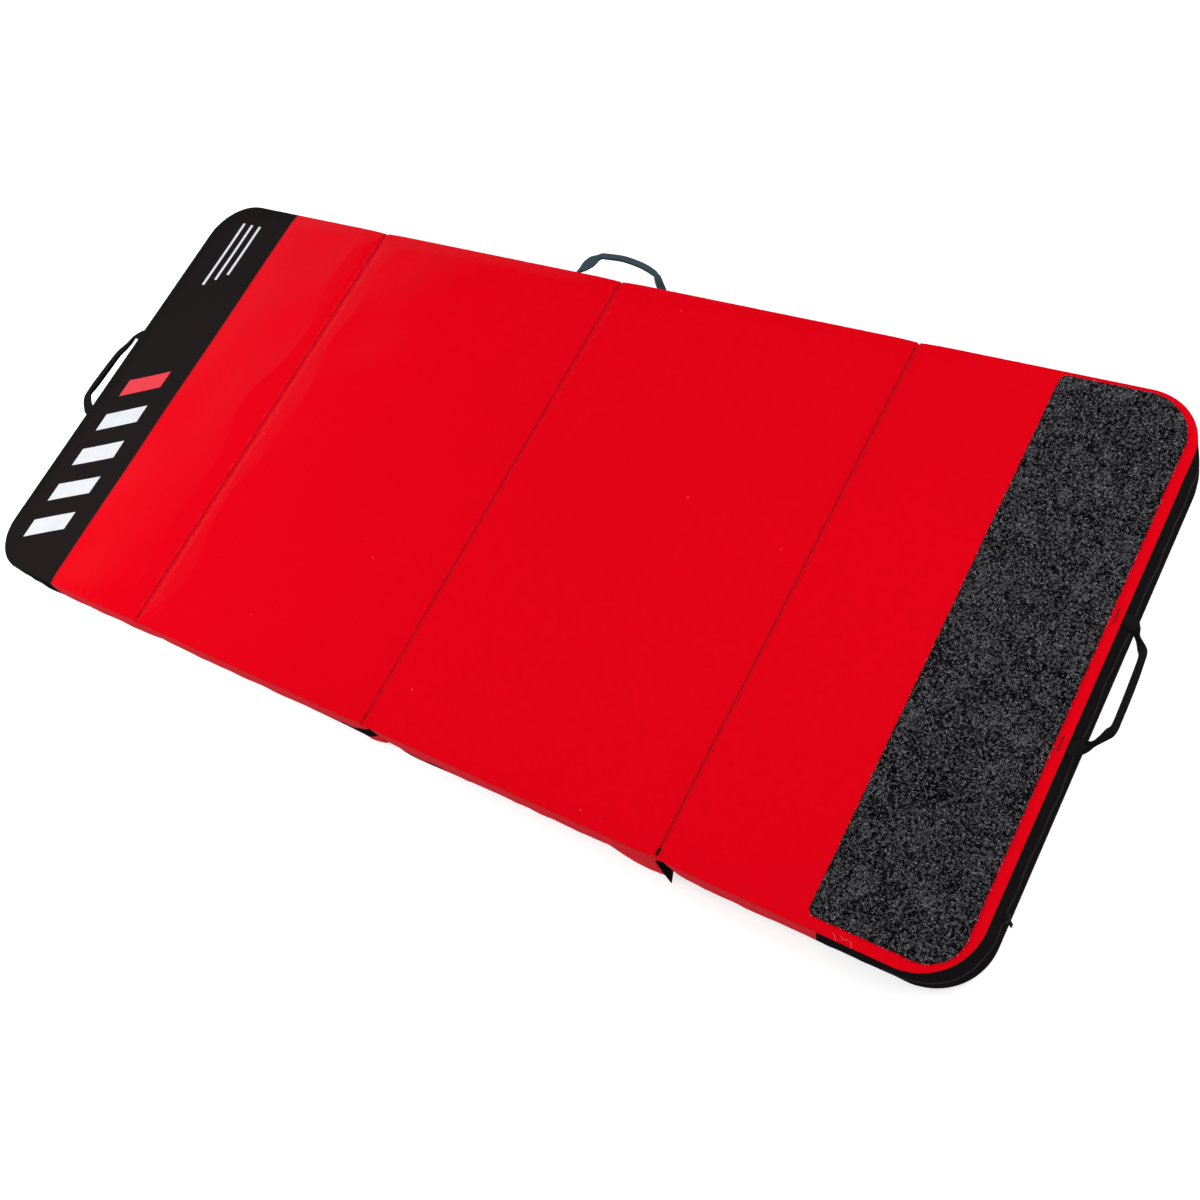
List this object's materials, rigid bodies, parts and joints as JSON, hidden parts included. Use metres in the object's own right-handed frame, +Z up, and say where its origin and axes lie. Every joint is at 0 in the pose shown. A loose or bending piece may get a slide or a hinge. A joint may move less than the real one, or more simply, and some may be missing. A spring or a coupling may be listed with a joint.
{
  "type": "folding crash landing mat",
  "caption": "Folding landing mat of foam panels in a sewn cover, hinged at the top of each fold, with an inset foot carpet, webbing carry handles and zipped ends.",
  "frame": {"origin": "on the ground under the middle fold, at the centre of the open mat's footprint; the middle handle makes the outer box reach further on +Y, so the claim is checked on the ground face beside the fold's gap", "axes": "+X along the mat towards the carpet end, +Y towards the side with the middle handle, +Z up"},
  "size_m": [2.3666, 1.0726, 0.1243],
  "materials": {
    "red_nylon": "satin",
    "black_nylon": "satin",
    "black_webbing": "satin",
    "charcoal_carpet": "matte",
    "closed_cell_foam": "matte",
    "open_cell_foam": "matte",
    "black_plastic": "satin",
    "red_thread": "matte"
  },
  "bodies": {
    "panel_1": {"panel_1_foam_base": "closed_cell_foam", "panel_1_foam_core": "open_cell_foam", "panel_1_foam_top": "closed_cell_foam", "panel_1_base_cover": "black_nylon", "panel_1_top_cover": "red_nylon", "panel_1_side_wall": "red_nylon", "panel_1_end_band": "black_nylon", "panel_1_end_wall": "black_nylon", "zip_tape_left": "black_webbing"},
    "panel_2": {"panel_2_foam_base": "closed_cell_foam", "panel_2_foam_core": "open_cell_foam", "panel_2_foam_top": "closed_cell_foam", "panel_2_base_cover": "black_nylon", "panel_2_top_cover": "red_nylon", "panel_2_side_wall": "red_nylon", "fold_1_seam": "red_thread", "fold_2_seam": "red_thread", "handle_middle": "black_webbing", "strap_tail_2": "black_webbing"},
    "panel_3": {"panel_3_foam_base": "closed_cell_foam", "panel_3_foam_core": "open_cell_foam", "panel_3_foam_top": "closed_cell_foam", "panel_3_base_cover": "black_nylon", "panel_3_top_cover": "red_nylon", "panel_3_side_wall": "red_nylon", "fold_3_seam": "red_thread", "strap_tail_3": "black_webbing"},
    "panel_4": {"panel_4_foam_base": "closed_cell_foam", "panel_4_foam_core": "open_cell_foam", "panel_4_foam_top": "closed_cell_foam", "panel_4_base_cover": "black_nylon", "panel_4_top_cover": "red_nylon", "panel_4_side_wall": "red_nylon", "panel_4_end_wall": "black_nylon", "carpet": "charcoal_carpet", "zip_tape_right": "black_webbing"},
    "handle_left": {"handle_left": "black_webbing"},
    "handle_right": {"handle_right": "black_webbing"},
    "zip_slider_left": {"zip_slider_left": "black_plastic", "zip_pull_left": "black_webbing"},
    "zip_slider_right": {"zip_slider_right": "black_plastic", "zip_pull_right": "black_webbing"}
  },
  "joints": [
    {"name": "fold_1", "type": "hinge", "parent": "panel_2", "child": "panel_1", "pos_m": [-0.63, 0, 0.1205], "axis": [0, 1, 0], "range_deg": [0, 175]},
    {"name": "fold_2", "type": "hinge", "parent": "panel_2", "child": "panel_3", "pos_m": [0, 0, 0.1205], "axis": [0, 1, 0], "range_deg": [-175, 0]},
    {"name": "fold_3", "type": "hinge", "parent": "panel_3", "child": "panel_4", "pos_m": [0.63, 0, 0.1205], "axis": [0, -1, 0], "range_deg": [0, 175]},
    {"name": "handle_left_swing", "type": "hinge", "parent": "panel_1", "child": "handle_left", "pos_m": [-1.1318, 0, 0.115], "axis": [0, -1, 0], "range_deg": [-45, 60]},
    {"name": "handle_right_swing", "type": "hinge", "parent": "panel_4", "child": "handle_right", "pos_m": [1.1318, 0, 0.115], "axis": [0, 1, 0], "range_deg": [-45, 60]},
    {"name": "zip_left_slide", "type": "slide", "parent": "panel_1", "child": "zip_slider_left", "axis": [0, 1, 0], "range_m": [0, 0.72]},
    {"name": "zip_right_slide", "type": "slide", "parent": "panel_4", "child": "zip_slider_right", "axis": [0, 1, 0], "range_m": [0, 0.72]}
  ]
}
